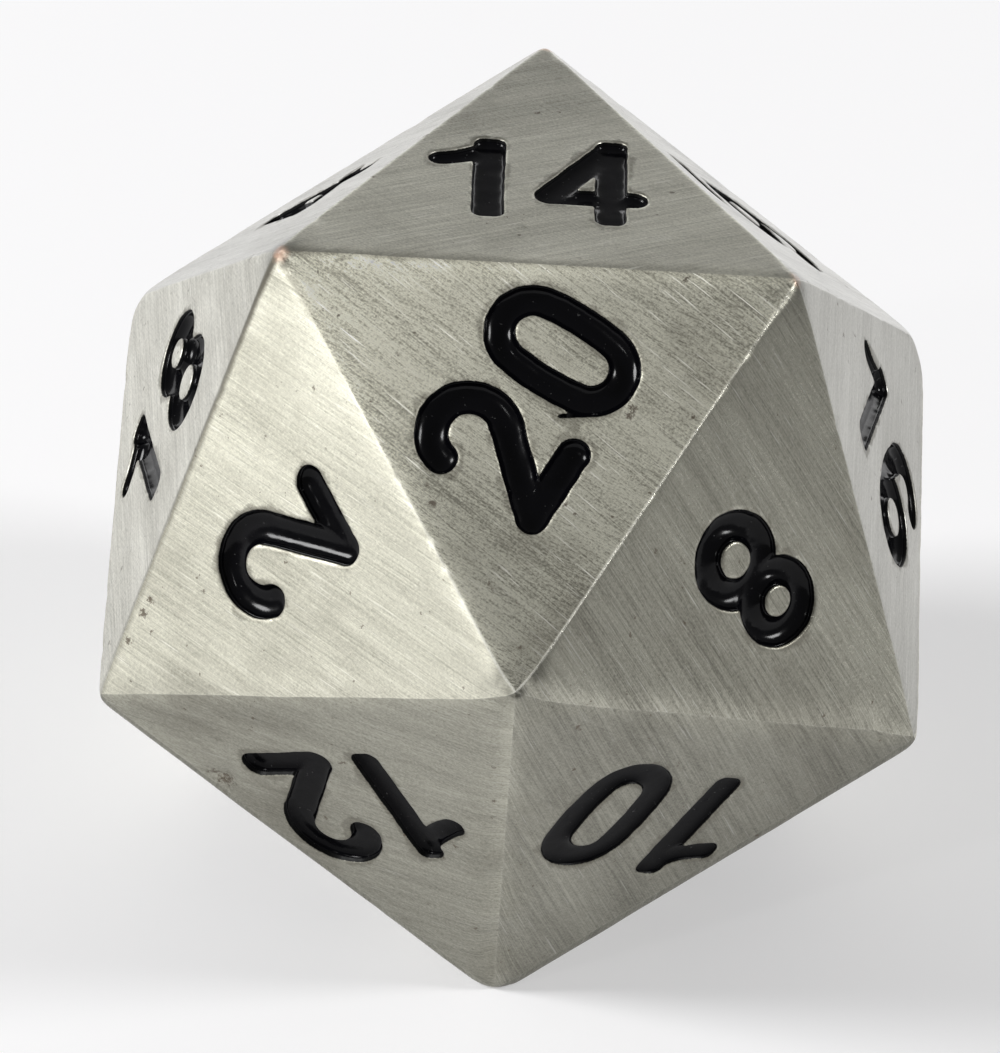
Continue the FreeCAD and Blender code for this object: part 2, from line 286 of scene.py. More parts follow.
# ---- Faces ----
class DieFace:
    """Plane, outline and numeral of one face of the die."""

    def __init__(self, number):
        self.number = number
        self.names = FACES[number]
        ideal = [IDEAL[name] for name in self.names]
        self.middle = sum(ideal) / 3
        self.normal = self.middle / np.linalg.norm(self.middle)
        upward = ideal[0] - self.middle
        self.up = upward / np.linalg.norm(upward)
        self.right = np.cross(self.up, self.normal)
        first, second, third = (ACTUAL[name] for name in self.names)
        slope = np.cross(second - first, third - first)
        self.round_names = self.names
        if np.dot(slope, self.normal) < 0:
            slope = np.cross(third - first, second - first)
            self.round_names = (self.names[0], self.names[2], self.names[1])
        self.corners = [ACTUAL[name] for name in self.round_names]
        self.plane = slope / np.linalg.norm(slope)
        self.offset = float(np.dot(self.plane, self.corners[0]))
        self.growth = 1 + PROUD_FACES.get(number, 0.0) / self.offset
        self.digits = self.find_digits()

    def flat(self, points):
        """Face coordinates of points in space."""
        local = np.asarray(points) - self.middle
        return np.stack([local @ self.right, local @ self.up], axis=-1)

    def lift(self, flat):
        """Points of the sharp face plane above face coordinates."""
        points = self.middle + flat[:, :1] * self.right + flat[:, 1:] * self.up
        rise = (self.offset - points @ self.plane) / float(np.dot(self.normal, self.plane))
        return points + rise[:, None] * self.normal

    def find_digits(self):
        """Digit, node name and place of every pool of enamel, read from the CAD nodes."""
        lean = math.radians(LEAN.get(self.number, 0))
        turn = np.array([[math.cos(lean), -math.sin(lean)], [math.sin(lean), math.cos(lean)]])
        text = str(self.number)
        found = []
        for role, digit in (("units", text[-1]), ("mark", "mark"), ("tens", text[0])):
            node = f"face_{self.number:02d}_{role}_enamel"
            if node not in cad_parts:
                continue
            vertices = np.array([vertex.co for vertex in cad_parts[node].data.vertices]) / MM
            vertices[:, 2] -= HALF_HEIGHT
            level = self.flat(vertices) @ turn
            middle = (level.min(axis=0) + level.max(axis=0)) / 2 - GLYPH_MIDDLE[digit]
            found.append((node, digit, middle, turn))
        return found

    def field(self, flat, node=None):
        """Signed distance to the numeral, or to one of its pools, with hand-cut wobble."""
        total = np.full(len(flat), FAR_AWAY)
        for name, digit, middle, turn in self.digits:
            if node is None or node == name:
                level = flat @ turn - middle
                total = np.minimum(total, digit_field(digit, level[:, 0], level[:, 1]))
        if self.number == SLIP_FACE and node in (None, SLIP_POOL):
            total = np.minimum(total, segment_distance(flat[:, 0], flat[:, 1], *SLIP) - SLIP_WIDTH / 2)
        seed = np.full((len(flat), 1), self.number * 3.7)
        return total + WOBBLE * noise_at(np.hstack([flat, seed]), OUTLINE_WAVES)


# ---- Rounded outside of the die ----
DIE_FACES = [DieFace(number) for number in sorted(FACES)]     # face one comes first
PLANES = np.array([face.plane for face in DIE_FACES])
OFFSETS = np.array([face.offset * face.growth for face in DIE_FACES])
CORNER_POINTS = np.array(list(ACTUAL.values()))
CORNER_WEAR = {"top_left": 0.4, "belt_left": 5.0, "belt_right": 8.0, "low_left": 0.9,
               "low_right": 1.2, "base_front": 0.7}

# Edges worn softer than the rest: the two corners, the share of the way where the soft
# part starts and stops, and how much softer it is.
SOFT_EDGES = (
    ("belt_front", "low_right", 0.0, 0.88, 5.5),
    ("low_left", "belt_front", 0.12, 1.0, 1.8),
    ("belt_front", "base_front", 0.0, 0.88, 6.5),
    ("top_left", "belt_front", 0.0, 0.16, 1.2),
    ("top_left", "top_right", 0.0, 1.0, 2.2),
)
SOFT_REACH = 0.8
CORNER_SPREAD = 1.0
USUAL_WEAR = 1.3             # wear of the other corners
CRISP, LOW_WORN = 0.019, 0.022     # rounding of the upper edges, and how much larger it is below
UNEVEN = 0.35                # share by which the wear goes up and down
SURFACE_DIP = 0.005          # depth of the gentle waves in the faces
CORNER_WEARS = np.array([CORNER_WEAR.get(name, USUAL_WEAR) for name in ACTUAL])


def wear_width(points):
    """Sharpness length of the rounding: small on the crisp upper edges, larger below."""
    away = np.linalg.norm(points[:, None] - CORNER_POINTS, axis=2)
    at_corner = (np.exp(-(away / CORNER_SPREAD) ** 2) * CORNER_WEARS).sum(axis=1)
    low = 1 / (1 + np.exp((points[:, 2] + 0.5) / 1.5))
    softer = 1 + at_corner
    for first, second, start, stop, amount in SOFT_EDGES:
        run = ACTUAL[second] - ACTUAL[first]
        share = np.clip((points - ACTUAL[first]) @ run / float(run @ run), start, stop)
        gap = np.linalg.norm(points - ACTUAL[first] - share[:, None] * run, axis=1)
        softer += amount * np.exp(-(gap / SOFT_REACH) ** 2)
    return (CRISP + LOW_WORN * low) * softer * (1 + UNEVEN * noise_at(points, WEAR_WAVES))


def rounded(points):
    """Moves points of the sharp die along their rays onto the worn surface."""
    width = wear_width(points)
    heights = points @ PLANES.T
    scale = np.ones(len(points))
    for _ in range(4):
        depth = (scale[:, None] * heights - OFFSETS) / width[:, None]
        peak = depth.max(axis=1)
        shares = np.exp(depth - peak[:, None])
        total = shares.sum(axis=1)
        value = width * (peak + np.log(total))
        slope = (shares * heights).sum(axis=1) / total
        scale -= value / slope
    return points * scale[:, None]


# Larger dents on the edges, as x, y, radius and depth in millimetres on a face.
EDGE_DENTS = {
    20: ((-3.26, 1.77, 0.12, 0.04),),
    12: ((4.30, -0.70, 0.20, 0.20), (4.12, -0.98, 0.15, 0.14), (4.45, -0.35, 0.14, 0.12)),
}


NICK_RADII = (0.10, 0.28)
NICK_DEPTHS = (0.010, 0.035)


def make_nicks():
    """Small dents on the edges and faces: place, radius and depth in millimetres."""
    places, radii, depths = [], [], []
    for face in DIE_FACES:
        for start, stop in zip(face.corners, face.corners[1:] + face.corners[:1]):
            for _ in range(rng.integers(1, 4)):
                share = rng.uniform(0.03, 0.97)
                places.append(start + share * (stop - start))
                radii.append(rng.uniform(*NICK_RADII))
                depths.append(rng.uniform(*NICK_DEPTHS))
        for x, y, radius, depth in EDGE_DENTS.get(face.number, ()):
            places.append(face.lift(np.array([[x, y]]))[0])
            radii.append(radius)
            depths.append(depth)
    return np.array(places), np.array(radii), np.array(depths)


NICKS = make_nicks()


def nick_depth(points):
    """How far the dents pull the surface in."""
    places, radii, depths = NICKS
    away = np.linalg.norm(points[:, None] - places, axis=2) / radii
    return (depths * np.exp(-away ** 2)).sum(axis=1)


def lip_height(gap):
    """Height of the metal beside a recess: a worn lip inside, a slight swell outside."""
    worn = -LIP * np.maximum(1 - gap / LIP, 0) ** 2
    return worn * LIP_WEAR + SWELL * np.exp(-((gap - SWELL_PLACE) / SWELL_REACH) ** 2)


# ---- Outlines by marching over a grid ----
def level_loops(values, xs, ys, level):
    """Closed outlines where a sampled field crosses a level, as rough points."""
    inside = values < level
    cells = inside[:-1, :-1].astype(int) + inside[:-1, 1:] + inside[1:, 1:] + inside[1:, :-1]
    # A crossing is named by the grid node its grid edge leaves and whether it runs down.
    links = {}
    for row, column in zip(*np.nonzero((cells > 0) & (cells < 4))):
        corners = ((row, column), (row, column + 1), (row + 1, column + 1), (row + 1, column))
        sides = ((row, column, 0), (row, column + 1, 1), (row + 1, column, 0), (row, column, 1))
        cut = [side for side, (one, other) in zip(sides, zip(corners, corners[1:] + corners[:1]))
               if inside[one] != inside[other]]
        if len(cut) == 4 and inside[corners[0]]:
            cut = cut[3:] + cut[:3]
        for one, other in zip(cut[::2], cut[1::2]):
            links.setdefault(one, []).append(other)
            links.setdefault(other, []).append(one)
    loops = []
    while links:
        start = next(iter(links))
        chain, here = [start], links.pop(start)[0]
        while here in links:
            chain.append(here)
            ahead = [name for name in links.pop(here) if name in links]
            if not ahead:
                break
            here = ahead[0]
        points = []
        for row, column, down in chain:
            far = (row + down, column + 1 - down)
            share = (level - values[row, column]) / (values[far] - values[row, column])
            points.append((xs[column] + (0 if down else share) * (xs[1] - xs[0]),
                           ys[row] + (share if down else 0) * (ys[1] - ys[0])))
        if len(points) > 5:
            loops.append(np.array(points))
    return loops


def settle(points, field, level):
    """Moves points onto the exact level of a field."""
    small = 1e-3
    for _ in range(3):
        value = field(points)
        slope = np.stack([field(points + [small, 0]) - value, field(points + [0, small]) - value], axis=1)
        slope /= small
        points = points - ((value - level) / np.maximum((slope ** 2).sum(axis=1), 0.05))[:, None] * slope
    return points


def even_loop(points, step):
    """The same closed outline with evenly spaced points."""
    closed = np.vstack([points, points[:1]])
    run = np.concatenate([[0], np.cumsum(np.linalg.norm(np.diff(closed, axis=0), axis=1))])
    count = max(8, int(round(run[-1] / step)))
    marks = np.linspace(0, run[-1], count, endpoint=False)
    return np.stack([np.interp(marks, run, closed[:, 0]), np.interp(marks, run, closed[:, 1])], axis=1)


def numeral_rows(face, rows, node=None):
    """Outlines of a numeral at several levels, each as (level, points)."""
    places = np.array([middle @ turn.T for name, _, middle, turn in face.digits if node in (None, name)])
    low, high = places.min(axis=0), places.max(axis=0)
    xs, ys = (np.arange(low[i] - GRID_MARGIN[i], high[i] + GRID_MARGIN[i], GRID_STEP) for i in (0, 1))
    mesh_x, mesh_y = np.meshgrid(xs, ys)

    def field(flat):
        return face.field(flat, node)

    values = field(np.stack([mesh_x.ravel(), mesh_y.ravel()], axis=1)).reshape(mesh_x.shape)
    found = []
    for level, step in rows:
        for loop in level_loops(values, xs, ys, level):
            loop = settle(even_loop(settle(loop, field, level), step), field, level)
            found.append((level, loop))
    return found


def triangulate(loops, loose):
    """Triangles over closed outlines and loose points; returns points and triangles."""
    points, edges = [], []
    for loop in loops:
        first = len(points)
        points.extend(map(tuple, loop))
        edges.extend((first + i, first + (i + 1) % len(loop)) for i in range(len(loop)))
    points.extend(map(tuple, loose))
    result = delaunay_2d_cdt([Vector((float(x), float(y))) for x, y in points], edges, [], 1, 1e-6)
    flat = np.array([tuple(vertex) for vertex in result[0]])
    triangles = np.array([tuple(triangle) for triangle in result[2]])
    sides = flat[triangles[:, 1:]] - flat[triangles[:, :1]]
    turned = sides[:, 0, 0] * sides[:, 1, 1] < sides[:, 0, 1] * sides[:, 1, 0]
    triangles[turned] = triangles[turned][:, ::-1]
    return flat, triangles, result[3]


# ---- Mesh of one face of the casting ----
def clustered(count):
    """Shares from 0 to 1, closer together near both ends."""
    even = np.arange(count) / count
    return even - 0.5 * np.sin(2 * math.pi * even) / (2 * math.pi)


def edge_gaps(face, flat):
    """Distances to the three edges of a face, in face coordinates."""
    corners = face.flat(face.corners)
    gaps = []
    for start, stop in zip(corners, np.roll(corners, -1, axis=0)):
        run = (stop - start) / np.linalg.norm(stop - start)
        offset = flat - start
        gaps.append(run[0] * offset[:, 1] - run[1] * offset[:, 0])
    return np.stack(gaps, axis=1)


def inset_corners(face, inset):
    """Corners of the face outline drawn in by an equal distance."""
    corners = face.flat(face.corners)
    moved = []
    for before, here, after in zip(np.roll(corners, 1, axis=0), corners, np.roll(corners, -1, axis=0)):
        to_here = (here - before) / np.linalg.norm(here - before)
        onward = (after - here) / np.linalg.norm(after - here)
        normals = np.array([[-to_here[1], to_here[0]], [-onward[1], onward[0]]])
        moved.append(here + np.linalg.solve(normals, [inset, inset]))
    return moved


def border_keys(face):
    """Sharp points along the three edges with names that two faces share."""
    keys, points = [], []
    names = face.round_names
    count = int(round(EDGE / EDGE_STEP))
    for first, second in zip(names, names[1:] + names[:1]):
        for index, share in enumerate(clustered(count)):
            points.append(ACTUAL[first] + share * (ACTUAL[second] - ACTUAL[first]))
            if index == 0:
                keys.append(first)
            elif first < second:
                keys.append((first, second, index))
            else:
                keys.append((second, first, count - index))
    return keys, np.array(points)


def fill_points(face):
    """Loose points over the open metal, clear of the edge rows and the numeral rows."""
    xs = np.arange(-EDGE / 2, EDGE / 2, FILL_STEP)
    found = []
    for index, y in enumerate(np.arange(-TIP_RADIUS / 2, TIP_RADIUS, FILL_STEP * FILL_PITCH)):
        found.append(np.stack([xs + (index % 2) * FILL_STEP / 2, np.full(len(xs), y)], axis=1))
    found = np.vstack(found)
    found = found[edge_gaps(face, found).min(axis=1) > EDGE_ROWS[-1] + EDGE_CLEAR]
    return found[face.field(found) > LIP_ROWS[-1][0] + RECESS_CLEAR]


def face_mesh(face):
    """Flat points and triangles of one face, and the names of its border points."""
    keys, sharp_border = border_keys(face)
    loops = [face.flat(sharp_border)]
    for inset in EDGE_ROWS:
        corners = inset_corners(face, inset)
        count = int(round((EDGE - 3.4 * inset) / EDGE_STEP))
        sides = [start + clustered(count)[:, None] * (stop - start)
                 for start, stop in zip(corners, corners[1:] + corners[:1])]
        loops.append(np.vstack(sides))
    loose = [fill_points(face)]
    for level, loop in numeral_rows(face, LIP_ROWS):
        clear = edge_gaps(face, loop).min(axis=1) > EDGE_ROWS[-1] + 0.09
        if clear.all() or level < LIP_ROWS[-2][0]:
            loops.append(loop)
        else:
            loose.append(loop[clear])
    flat, triangles, origins = triangulate(loops, np.vstack(loose))
    names = {index: keys[source] for index, sources in enumerate(origins)
             for source in sources if source < len(keys)}
    return flat, triangles, names


def face_points(face, flat):
    """Places in space of the flat points of a face, and their distance to the numeral."""
    gap = face.field(flat)
    points = rounded(face.lift(flat))
    pull = nick_depth(points) + SURFACE_DIP * (1 - noise_at(points, SURFACE_WAVES))
    points = points * (1 - pull / np.linalg.norm(points, axis=1))[:, None]
    drop = np.where(gap < -WALL_DRAFT / 2, -RECESS_DEPTH, lip_height(np.clip(gap, -0.005, 3)))
    return points + drop[:, None] * face.normal, gap


# ---- Finish of the faces, with painted light and shade ----
# Main brush direction and a second one in degrees from the reading direction of the
# numeral, the share of the second, the strength of the grain and of the stains, the
# roughness, how cool the metal looks, the tone, and the tone towards the three corners in
# the order of FACES. The tone and the corner tones are partly the metal's own tone and
# partly painted light and shade, which sets how bright each face and its corners look.
FINISH = {
    20: (82, 100, 0.8, 2.05, 1.0, 0.60, 0.0, 0.915, (1.60, 0.70, 0.98)),
    14: (25, 135, 0.6, 0.95, 0.6, 0.44, 0.2, 0.94, (0.78, 1.12, 1.00)),
    2: (30, 8, 0.4, 1.00, 0.5, 0.50, 0.0, 1.08, (0.94, 1.18, 0.92)),
    8: (78, 66, 0.3, 1.50, 0.5, 0.32, 0.0, 0.585, (0.95, 0.90, 0.72)),
    12: (155, 122, 0.9, 0.78, 0.8, 0.41, 0.0, 0.56, (0.80, 1.15, 1.05)),
    10: (140, 165, 0.4, 1.20, 0.5, 0.35, 0.0, 0.445, (0.94, 0.98, 0.98)),
    18: (76, 100, 0.5, 0.90, 0.4, 0.47, 0.5, 1.10, (0.95, 0.93, 0.93)),
    16: (118, 95, 0.5, 0.65, 0.3, 0.43, 0.7, 0.84, (1.0, 1.03, 1.0)),
    4: (60, 100, 0.5, 0.75, 0.3, 0.46, 0.9, 0.98, (1.02, 1.03, 0.95)),
    6: (120, 80, 0.5, 0.65, 0.3, 0.50, 1.0, 1.20, (1.1, 1.05, 1.03)),
    15: (60, 95, 0.6, 0.90, 0.5, 0.41, 0.0, 0.45, (1.0, 1.05, 1.0)),
    17: (110, 80, 0.6, 1.00, 0.5, 0.38, 0.0, 0.38, (1.0, 1.0, 1.05)),
}
for number in sorted(FACES):
    if number not in FINISH:
        main = float(rng.uniform(-80, 100))
        second = main + float(rng.uniform(15, 45))
        grain = float(rng.uniform(0.8, 1.3))
        roughness = float(rng.uniform(0.38, 0.48))
        tone = float(rng.uniform(0.85, 1.0))
        corner_tones = tuple(rng.uniform(0.85, 1.12, 3))
        FINISH[number] = (main, second, 0.5, grain, 0.6, roughness, 0.3, tone, corner_tones)

# How bare the metal is along an edge, at its first and at its second corner, partly a
# painted highlight on the edge; below zero the edge holds grime and painted shade instead.
EDGE_WEAR_AND_PAINTED_LIGHT = {
    ("belt_front", "top_right"): (0.65, 0.10),
    ("belt_front", "top_left"): (1.0, -0.6),
    ("low_left", "top_left"): (-0.3, -1.0),
    ("belt_right", "top_right"): (-0.2, 0.2),
    ("top_left", "top_right"): (-0.5, 0.05),
}
USUAL_EDGE_WEAR_AND_LIGHT = (0.05, 0.05)
# Painted sheen: how much lighter the metal is painted in a soft band along an edge, at its two corners.
EDGE_PAINTED_SHEEN = {
    ("belt_front", "base_front"): (0.30, 0.10),
    ("belt_front", "low_right"): (0.14, 0.10),
    ("belt_front", "low_left"): (0.25, 0.10),
    ("belt_front", "top_left"): (0.28, 0.10),
    ("top_left", "top_right"): (0.30, 0.38),
}
GLOW_REACH = 0.36
# Painted light round a corner, and painted shade where the value is below zero, as on these upper corners.
CORNER_PAINTED_LIGHT = {"top_left": -0.55, "top_right": -0.30, "belt_front": -0.15}
CORNER_GLOW_REACH = 0.8


def corner_shares(face, flat):
    """Shares of the three corners of a face in its flat points."""
    corners = face.flat([IDEAL[name] for name in face.names])
    system = np.vstack([corners.T, np.ones(3)])
    return np.linalg.solve(system, np.vstack([flat.T, np.ones(len(flat))])).T


def edge_values(face, flat, ends_of, usual):
    """Value of the nearest edge, from a table of values at its first and second corner."""
    shares = corner_shares(face, flat)
    nearest = shares.argmin(axis=1)
    values = np.empty(len(flat))
    for index in range(3):
        one, other = (index + 1) % 3, (index + 2) % 3
        names = face.names[one], face.names[other]
        ends = ends_of.get(names) or ends_of.get(names[::-1], usual[::-1])[::-1]
        along = shares[:, other] / (shares[:, one] + shares[:, other])
        here = nearest == index
        values[here] = (ends[0] + along * (ends[1] - ends[0]))[here]
    return values


def face_tones(face, flat):
    """Tone of the metal over a face, one in its middle: partly its own tone, partly painted light and shade
    over the face, round corners and in bands along edges.
    """
    weights = np.clip((corner_shares(face, flat) - 1 / 3) * 1.5, 0, 1)
    tone, corner_tones = FINISH[face.number][7:]
    level = tone * (1 + weights @ (np.array(corner_tones) - 1))
    # Painted light and shade round corners.
    for name, amount in CORNER_PAINTED_LIGHT.items():
        away = np.linalg.norm(flat - face.flat(IDEAL[name]), axis=1)
        level = level * (1 + amount * np.exp(-(away / CORNER_GLOW_REACH) ** 2))
    # Painted sheen in a soft band along the edges.
    near = np.exp(-(edge_gaps(face, flat).min(axis=1) / GLOW_REACH) ** 2)
    return level * (1 + edge_values(face, flat, EDGE_PAINTED_SHEEN, (0.0, 0.0)) * near)


def brush_coordinates(face, flat, which):
    """Distances along and across the brush strokes, moved apart from face to face."""
    angle = math.radians(FINISH[face.number][which])
    along = flat @ np.array([math.cos(angle), math.sin(angle)])
    across = flat @ np.array([-math.sin(angle), math.cos(angle)])
    return np.stack([along + face.number * 31.0, across + face.number * 17.0], axis=1)


def new_object(name, data):
    """An object in the scene."""
    made = bpy.data.objects.new(name, data)
    bpy.context.scene.collection.objects.link(made)
    return made


def new_piece(name, points, triangles):
    """A smooth mesh object from millimetres about the middle of the die."""
    mesh = bpy.data.meshes.new(name)
    placed = (np.asarray(points) + [0, 0, HALF_HEIGHT]) * MM
    mesh.from_pydata([tuple(point) for point in placed], [], [tuple(int(i) for i in t) for t in triangles])
    mesh.shade_smooth()
    made = new_object(name, mesh)
    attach(made, "root")
    return made


def finish_data(face, flat):
    """All that the material reads from the mesh of a face: two brush directions, the gaps
    to the edges with their bareness and painted edge light, the finish, whose tone is partly painted light
    and shade, and roughness and coolness twice."""
    share, grain, stains, roughness, cool = FINISH[face.number][2:7]
    ones = np.ones(len(flat))
    return (
        brush_coordinates(face, flat, 0),
        brush_coordinates(face, flat, 1),
        np.column_stack([edge_gaps(face, flat), edge_values(face, flat, EDGE_WEAR_AND_PAINTED_LIGHT, USUAL_EDGE_WEAR_AND_LIGHT)]),
        np.column_stack([share * ones, face_tones(face, flat), grain * ones, stains * ones]),
        np.column_stack([roughness * ones, cool * ones] * 2),
    )


def make_casting():
    """The whole metal die as one closed mesh."""
    known, all_points, all_triangles = {}, [], []
    rim_gaps, corner_data = [], []
    for face in DIE_FACES:
        flat, triangles, names = face_mesh(face)
        points, gap = face_points(face, flat)
        order = np.empty(len(flat), int)
        for index in range(len(flat)):
            order[index] = known.setdefault(names.get(index, (face.number, index)), len(all_points))
            if order[index] == len(all_points):
                all_points.append(points[index])
                rim_gaps.append(gap[index])
        all_triangles.append(order[triangles])
        corner_data.append([part[triangles] for part in finish_data(face, flat)])
    triangles = np.vstack(all_triangles)
    casting = new_piece("die_casting", np.array(all_points), triangles)
    mesh = casting.data
    values = [np.vstack(part).astype(np.float32).ravel() for part in zip(*corner_data)]
    for name, part in zip(("brush", "cross"), values):
        mesh.uv_layers.new(name=name).data.foreach_set("uv", part)
    for name, part in zip(("edge_gap", "face_tone", "face_gloss"), values[2:]):
        mesh.color_attributes.new(name, "FLOAT_COLOR", "CORNER").data.foreach_set("color", part)
    bare = np.array([point for name, point in ACTUAL.items() if name.startswith(("top", "belt"))])
    away = np.linalg.norm(np.array(all_points)[:, None] - bare, axis=2).min(axis=1)
    for name, part in (("rim_gap", np.clip(rim_gaps, -1, 3)), ("corner_gap", np.clip(away, 0, 5))):
        mesh.attributes.new(name, "FLOAT", "POINT").data.foreach_set("value", part.astype(np.float32))
    return casting


# ---- Enamel ----
POOL_TOP = -0.050          # contact line of the enamel on the recess wall
# Depth of the hollow in the middle of a stroke, and how flat its bottom is.
POOL_SHAPE = {
    20: (0.30, 2.1), 2: (0.30, 2.2), 8: (0.30, 2.1), 14: (0.20, 3.2), 12: (0.24, 3.4), 10: (0.12, 3.0),
    16: (0.28, 2.3), 18: (0.32, 2.1),
}
USUAL_POOL = (0.26, 2.3)
RIPPLE = 0.003             # waviness of the enamel


def pool_height(face, flat, gap):
    """Height of the dried enamel: steep at the walls, hollow in the middle."""
    depth, power = POOL_SHAPE.get(face.number, USUAL_POOL)
    share = np.clip(-gap / (STROKE / 2 - 0.02), 0, 1)
    hollow = (1 - (1 - share) ** power) ** (1 / power)
    seed = np.full((len(flat), 1), face.number * 5.1)
    ripple = noise_at(np.hstack([flat, seed]), OUTLINE_WAVES)
    return POOL_TOP - depth * hollow + RIPPLE * ripple * share


def make_pool(face, node):
    """One pool of enamel as a closed solid."""
    def sheet(loops):
        """Points and triangles that lie in the pool, and the place of every loop point."""
        flat, triangles, origins = triangulate(loops, np.empty((0, 2)))
        gap = face.field(flat[triangles].mean(axis=1), node)
        deep = (face.field(flat, node)[triangles] < POOL_ROWS[1][0] / 2).any(axis=1)
        place = {source: index for index, sources in enumerate(origins) for source in sources}
        return flat, triangles[(gap < POOL_ROWS[0][0]) | deep], place

    rims = [loop for level, loop in numeral_rows(face, POOL_ROWS[:1], node)]
    flat, triangles, place = sheet([loop for level, loop in numeral_rows(face, POOL_ROWS, node)])
    under_flat, under_triangles, under_place = sheet(rims)
    height = pool_height(face, flat, face.field(flat, node))
    top = face.lift(flat) * face.growth + height[:, None] * face.normal
    under = face.lift(under_flat) * face.growth - RECESS_DEPTH * face.normal
    sides = []
    first = 0
    for rim in rims:
        ring = list(range(first, first + len(rim)))
        for here, ahead in zip(ring, ring[1:] + ring[:1]):
            low_here, low_ahead = (under_place[i] + len(flat) for i in (here, ahead))
            sides.append((place[here], low_here, low_ahead))
            sides.append((place[here], low_ahead, place[ahead]))
        first += len(rim)
    every = [tuple(t) for t in triangles] + [tuple(t[::-1] + len(flat)) for t in under_triangles] + sides
    pool = new_piece(node.replace("_enamel", "_pool"), np.vstack([top, under]), every)
    skin = bmesh.new()
    skin.from_mesh(pool.data)
    bmesh.ops.holes_fill(skin, edges=skin.edges, sides=4)
    bmesh.ops.recalc_face_normals(skin, faces=skin.faces)
    skin.to_mesh(pool.data)
    skin.free()
    return pool


# ---- Materials ----
class Nodes:
    """Shorthand for building a node material."""

    def __init__(self, name):
        self.material = bpy.data.materials.new(name)
        self.material.use_nodes = True
        self.tree = self.material.node_tree
        self.shader = self.tree.nodes["Principled BSDF"]

    def fill(self, node, **values):
        """Fills in some settings and inputs of a node."""
        for name, value in values.items():
            if hasattr(node, name):
                setattr(node, name, value)
            else:
                self.put(node.inputs[name.replace("_", " ")], value)
        return node

    def add(self, kind, **values):
        """A new node with some of its settings and inputs filled in."""
        return self.fill(self.tree.nodes.new(kind), **values)

    def put(self, socket, value):
        """Links or sets one input."""
        if isinstance(value, bpy.types.NodeSocket):
            self.tree.links.new(value, socket)
        else:
            socket.default_value = value

    def math(self, operation, one, other, clamp=False):
        """Result of a math node."""
        made = self.add("ShaderNodeMath", operation=operation, use_clamp=clamp)
        self.put(made.inputs[0], one)
        self.put(made.inputs[1], other)
        return made.outputs[0]

    def times(self, one, other, clamp=False):
        """Product of two values."""
        return self.math("MULTIPLY", one, other, clamp)

    def vector(self, operation, one, other):
        """A vector math node of two vectors."""
        made = self.add("ShaderNodeVectorMath", operation=operation)
        self.put(made.inputs[0], one)
        self.put(made.inputs[1], other)
        return made

    def scaled(self, vector, scale, offset=(0, 0, 0)):
        """A vector stretched by three factors and moved."""
        made = self.add("ShaderNodeMapping", Vector=vector, Scale=scale, Location=offset)
        return made.outputs["Vector"]

    def place(self):
        """Place on the object in millimetres."""
        return self.scaled(self.add("ShaderNodeTexCoord").outputs["Object"], (1 / MM, 1 / MM, 1 / MM))

    def noise(self, vector, detail, roughness, scale=1.0):
        """A noise value about 0.5."""
        made = self.add("ShaderNodeTexNoise", Vector=vector, Scale=scale, Detail=detail, Roughness=roughness)
        return made.outputs["Fac"]

    def ramp(self, value, low, high, start=0.0, stop=1.0):
        """A smooth step from one value to another."""
        made = self.add("ShaderNodeMapRange", interpolation_type="SMOOTHSTEP", Value=value,
                        From_Min=low, From_Max=high, To_Min=start, To_Max=stop)
        return made.outputs["Result"]

    def mix(self, share, one, other):
        """A colour between two others."""
        made = self.add("ShaderNodeMix", data_type="RGBA")
        self.put(made.inputs["Factor"], share)
        self.put(made.inputs[6], one)
        self.put(made.inputs[7], other)
        return made.outputs[2]

    def bump(self, strength, distance, height):
        """A surface direction tilted by a relief; the distance is in millimetres."""
        made = self.add("ShaderNodeBump", Strength=strength, Distance=distance * MM, Height=height)
        return made.outputs["Normal"]

    def attribute(self, name):
        """A node that reads values kept on the mesh."""
        return self.add("ShaderNodeAttribute", attribute_name=name)

    def parts(self, paint):
        """The three values in the colour of an attribute node."""
        return self.add("ShaderNodeSeparateColor", Color=paint.outputs["Color"]).outputs

    def centred(self, value):
        """A noise value moved to about zero."""
        return self.math("SUBTRACT", value, 0.5)

    def total(self, *parts):
        """Sum of values, each with its factor."""
        result = 0.0
        for value, factor in parts:
            result = self.math("ADD", self.times(value, factor), result)
        return result

    def uv(self, name):
        """A named pair of coordinates kept on the mesh."""
        return self.add("ShaderNodeUVMap", uv_map=name).outputs["UV"]


NICKEL_LIGHT = (0.800, 0.787, 0.668, 1)
NICKEL_DEEP = (0.285, 0.277, 0.230, 1)
PATINA = (0.130, 0.120, 0.096, 1)
# Near-white of bare metal, also painted as highlights on edges and as glints on scratches.
BARE_METAL_AND_GLINT = (0.880, 0.868, 0.780, 1)
COPPER = (0.680, 0.440, 0.330, 1)
BROWN = (0.105, 0.080, 0.058, 1)
RIM_BLACK = (0.012, 0.012, 0.012, 1)
COOL_TINT = (0.98, 0.99, 1.13)
ENAMEL_BLACK = (0.0016, 0.0016, 0.0024, 1)
DUST_GREY = (0.10, 0.10, 0.10, 1)
PAPER_WHITE = (0.685, 0.683, 0.690, 1)
PAPER_GLOW = (0.995, 0.99, 1.0, 1)

# Single dark specks: face, x, y and radius in millimetres.
SPECKS = (
    (20, 2.02, -3.55, 0.10), (20, -2.07, 3.44, 0.09), (10, 3.25, -1.51, 0.08), (14, -3.03, 2.40, 0.12),
    (20, 0.06, 6.40, 0.09), (20, 0.75, 5.60, 0.08), (2, 1.05, 5.10, 0.16), (20, -0.62, 5.35, 0.07),
    (20, 1.40, -2.16, 0.17), (20, 1.18, -2.20, 0.13), (20, -1.63, -2.11, 0.09), (2, 1.24, 4.69, 0.12),
    (2, 0.74, 5.90, 0.13), (12, 4.28, -0.60, 0.30), (12, 4.45, -0.95, 0.20),
)


